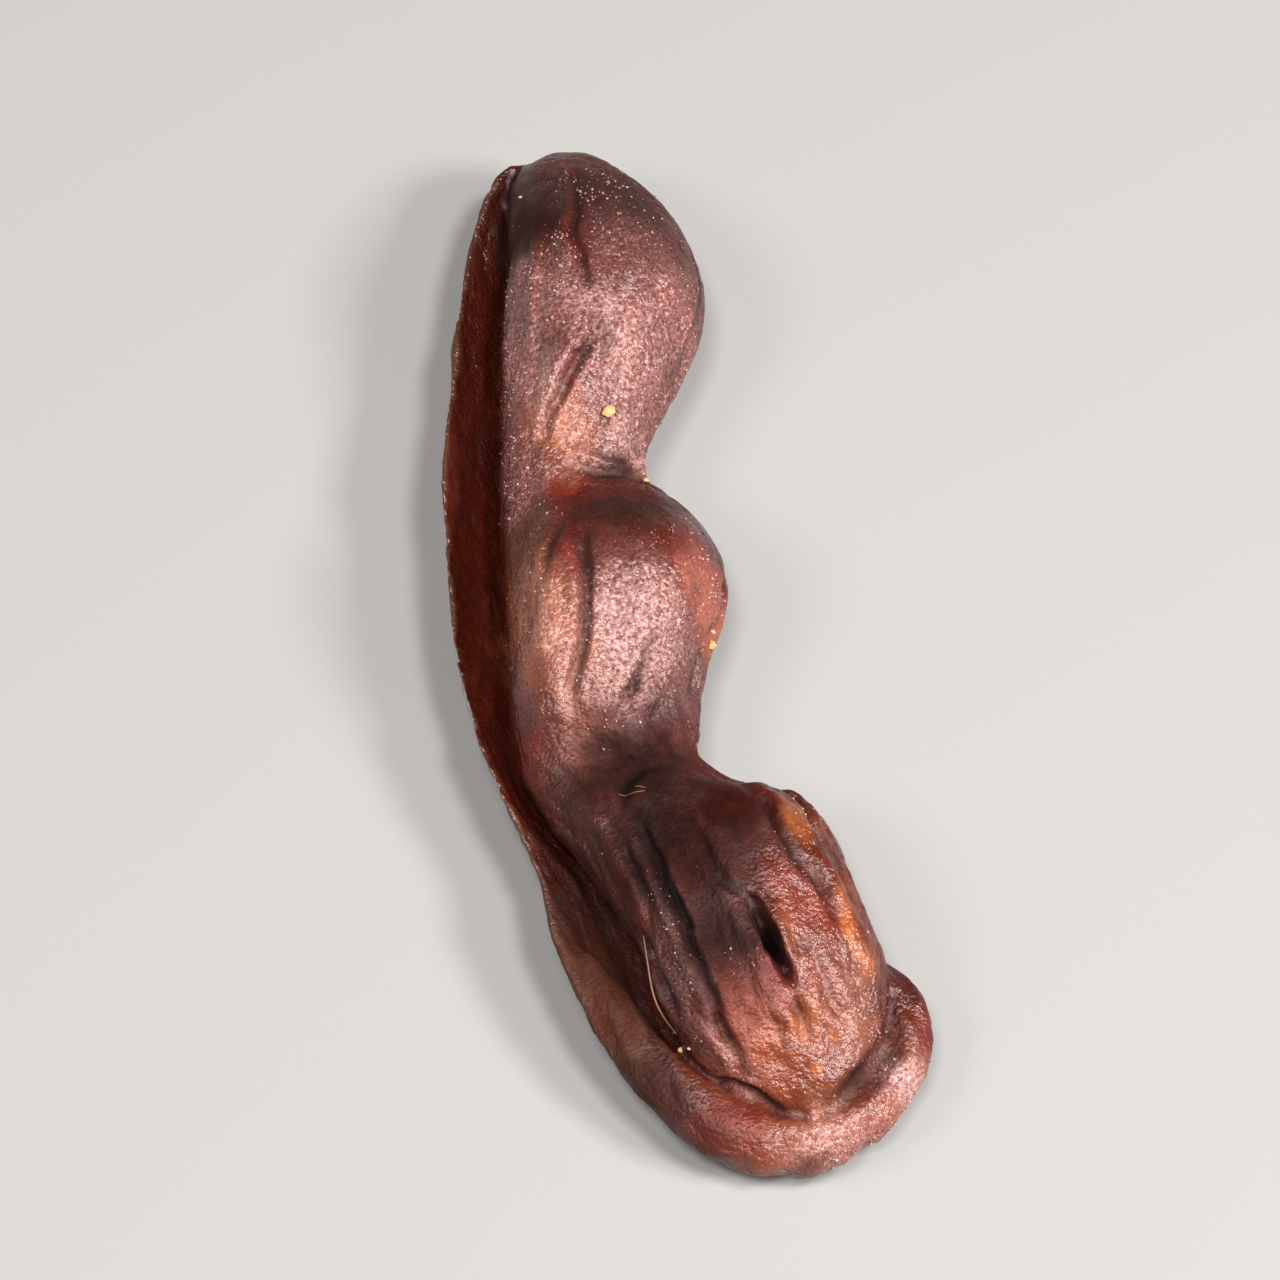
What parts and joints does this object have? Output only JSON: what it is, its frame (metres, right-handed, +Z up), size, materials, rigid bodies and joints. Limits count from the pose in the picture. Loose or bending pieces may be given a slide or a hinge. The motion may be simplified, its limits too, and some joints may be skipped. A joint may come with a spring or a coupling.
{
  "type": "tamarind pod",
  "caption": "Shelled tamarind pod: a lobed husk of glossy red-brown pulp, split along a seam, with a thin flange beside it and a folded lip round its tip.",
  "frame": {"origin": "under the middle of the pod's box, on the surface that it lies on", "axes": "+Z up; +Y along the pod, towards its stem end; -X towards the open seam and its flange"},
  "size_m": [0.0264, 0.0842, 0.0145],
  "materials": {
    "pulp": "sticky semi-gloss dried fruit pulp, red-brown mottled with purple-black and orange-tan, finely wrinkled",
    "shell": "matt, brittle, pale tan pod shell"
  },
  "bodies": {
    "root": {"tamarind_pod": "pulp", "shell_flake": "shell"}
  },
  "joints": []
}
